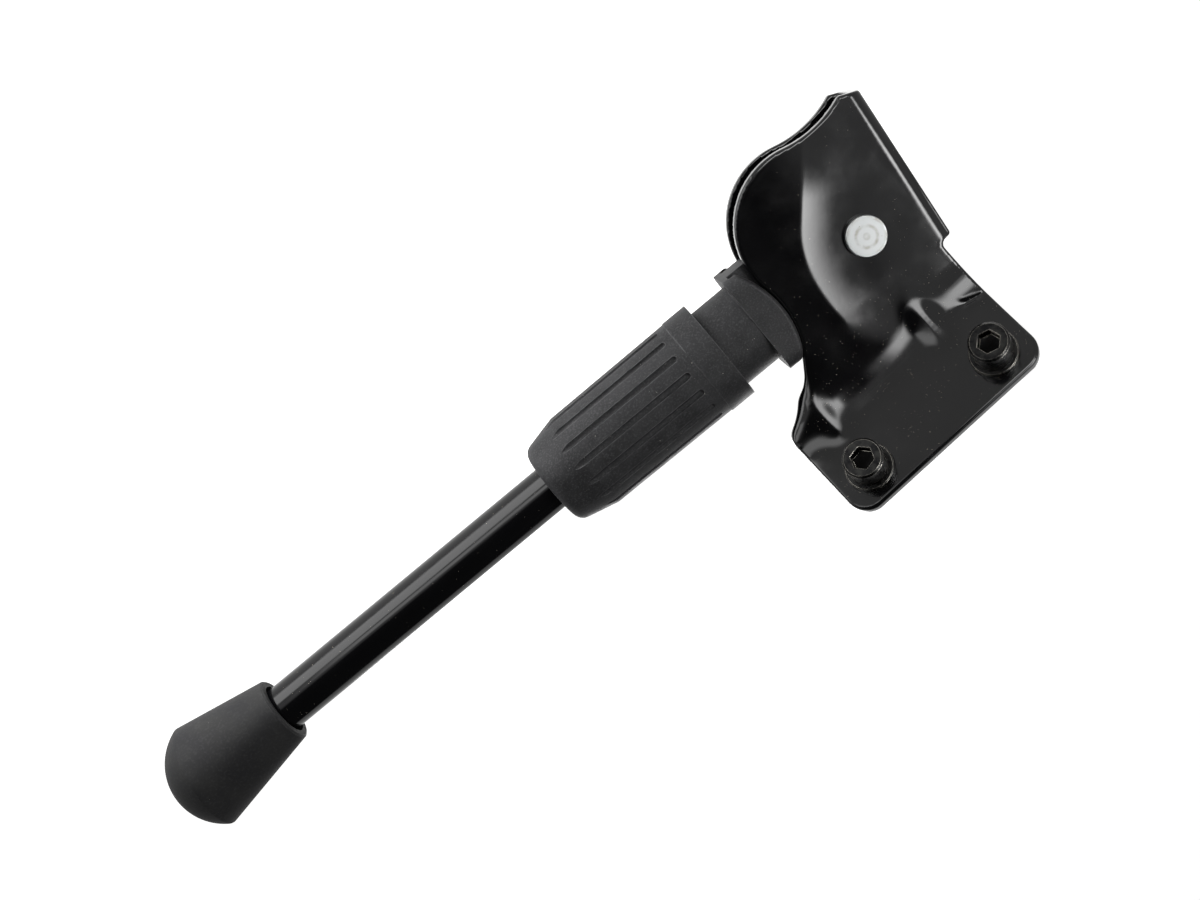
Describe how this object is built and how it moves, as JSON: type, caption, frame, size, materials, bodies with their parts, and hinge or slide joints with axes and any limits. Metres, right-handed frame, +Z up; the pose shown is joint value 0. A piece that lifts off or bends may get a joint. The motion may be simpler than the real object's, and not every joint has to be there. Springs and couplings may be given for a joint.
{
  "type": "bicycle kickstand",
  "caption": "Side kickstand with a folded cam bracket, a swinging leg on a rivet, a sprung cam collar under a fluted sleeve and a rubber foot.",
  "frame": {"origin": "midway between the two bolts, on the flange's inner face, which lies on the bicycle's plate", "axes": "+X to the rear of the bicycle along the bolt line and the stowed leg, +Y inboard along the bolts, +Z up"},
  "size_m": [0.2408, 0.0462, 0.0797],
  "materials": {
    "black_paint": "gloss black paint on steel",
    "zinc_plate": "bright zinc plate",
    "black_oxide": "black oxide, worn at the rims",
    "moulded_plastic": "moulded, matte",
    "spring_steel": "plain drawn wire",
    "rubber": "matte"
  },
  "bodies": {
    "base": {"bracket": "black_paint", "pivot_rivet": "zinc_plate", "mounting_bolts": "black_oxide", "spring_washers": "black_oxide", "flat_washers": "black_oxide"},
    "leg": {"leg_bar": "black_paint", "fluted_sleeve": "moulded_plastic", "spring_seat": "zinc_plate", "compression_spring": "spring_steel", "rubber_foot": "rubber"},
    "collar": {"cam_collar": "moulded_plastic"}
  },
  "joints": [
    {"name": "leg_swing", "type": "hinge", "parent": "base", "child": "leg", "pos_m": [-0.017, -0.01257, -0.04281], "axis": [0, 0.8007, -0.599], "range_deg": [0, 94.7]},
    {"name": "collar_slide", "type": "slide", "parent": "leg", "child": "collar", "axis": [0.9981, -0.0366, -0.0489], "range_m": [0, 0.0099], "deforming": ["compression_spring"]}
  ],
  "couplings": [
    {"joint": "collar_slide", "follows": "leg_swing", "m_per_rad": 0.005989}
  ]
}
